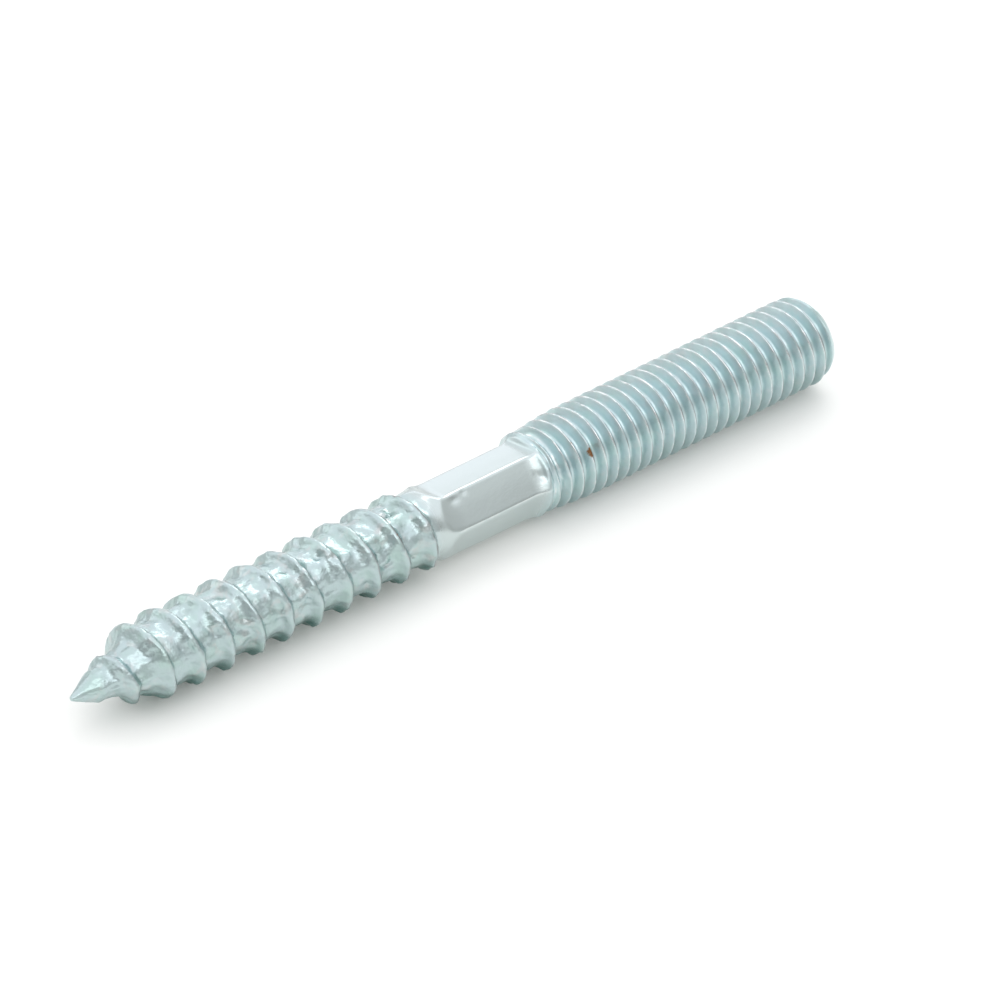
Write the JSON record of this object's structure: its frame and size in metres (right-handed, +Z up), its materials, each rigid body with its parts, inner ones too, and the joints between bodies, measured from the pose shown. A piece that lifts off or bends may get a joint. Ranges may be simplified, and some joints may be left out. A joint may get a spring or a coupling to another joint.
{
  "type": "hanger bolt",
  "caption": "Hanger bolt: a headless steel fixing with a wood thread and point at one end, a metric machine thread at the other, and a hexagon between them for a spanner.",
  "frame": {"origin": "centre of the flat end of the machine thread", "axes": "+X along the bolt, out of the machine-thread end; the wood point is at -X; +Z up, with the bolt lying down"},
  "size_m": [0.08, 0.008, 0.008],
  "materials": {
    "zinc_plated_steel": "bright zinc plating with a pale blue passivation"
  },
  "bodies": {
    "root": {"hanger_bolt": "zinc_plated_steel"}
  },
  "joints": []
}
